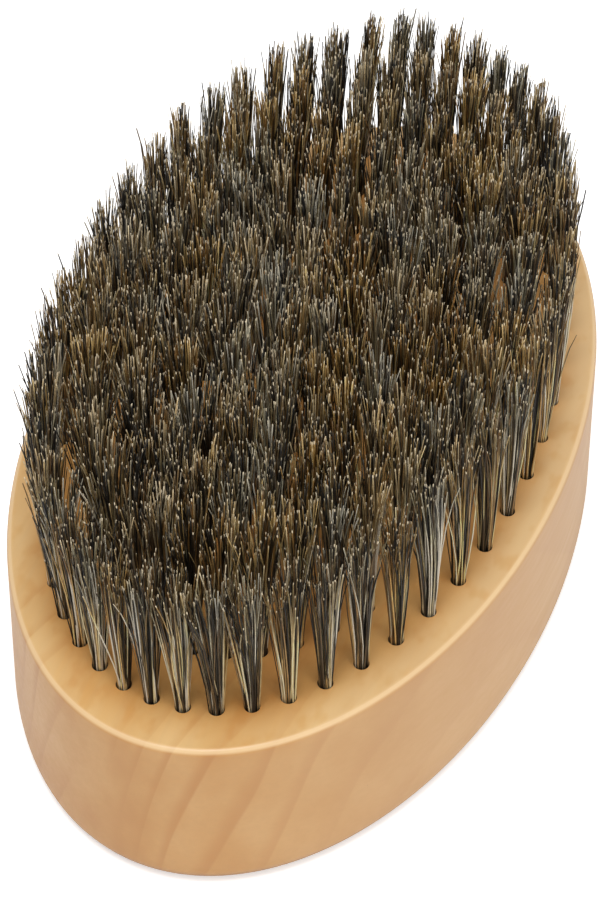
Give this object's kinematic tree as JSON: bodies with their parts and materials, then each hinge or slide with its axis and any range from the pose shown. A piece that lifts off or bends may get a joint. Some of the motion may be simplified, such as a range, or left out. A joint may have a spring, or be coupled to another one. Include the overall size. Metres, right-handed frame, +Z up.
{
  "type": "beard brush",
  "caption": "Oval palm brush for beards: a one-piece light wood block set with stiff mixed dark and grey boar-bristle tufts, each held by a flat wire anchor in a blind hole.",
  "frame": {"origin": "centre of the block's flat back, which the brush rests on with its bristles up", "axes": "+Y along the block's length, +X across its width, +Z up out of the back through the bristle tips"},
  "size_m": [0.0652, 0.1112, 0.045],
  "materials": {
    "wood": "light hardwood with a thin satin lacquer",
    "bristle": "mixed black, brown and grey boar bristle with a soft natural shine and paler cut tips",
    "anchor_steel": "drawn flat wire"
  },
  "bodies": {
    "root": {"anchor_wire_centre": "anchor_steel", "anchor_wire_ring_1_left": "anchor_steel", "anchor_wire_ring_1_right": "anchor_steel", "anchor_wire_ring_2_left": "anchor_steel", "anchor_wire_ring_2_right": "anchor_steel", "anchor_wire_ring_3_left": "anchor_steel", "anchor_wire_ring_3_right": "anchor_steel", "anchor_wire_ring_4_left": "anchor_steel", "anchor_wire_ring_4_right": "anchor_steel", "anchor_wire_ring_5_left": "anchor_steel", "anchor_wire_ring_5_right": "anchor_steel", "anchor_wire_ring_6_left": "anchor_steel", "anchor_wire_ring_6_right": "anchor_steel", "bristles_centre": "bristle", "bristles_ring_1_left": "bristle", "bristles_ring_1_right": "bristle", "bristles_ring_2_left": "bristle", "bristles_ring_2_right": "bristle", "bristles_ring_3_left": "bristle", "bristles_ring_3_right": "bristle", "bristles_ring_4_left": "bristle", "bristles_ring_4_right": "bristle", "bristles_ring_5_left": "bristle", "bristles_ring_5_right": "bristle", "bristles_ring_6_left": "bristle", "bristles_ring_6_right": "bristle", "wood_block": "wood"}
  },
  "joints": []
}
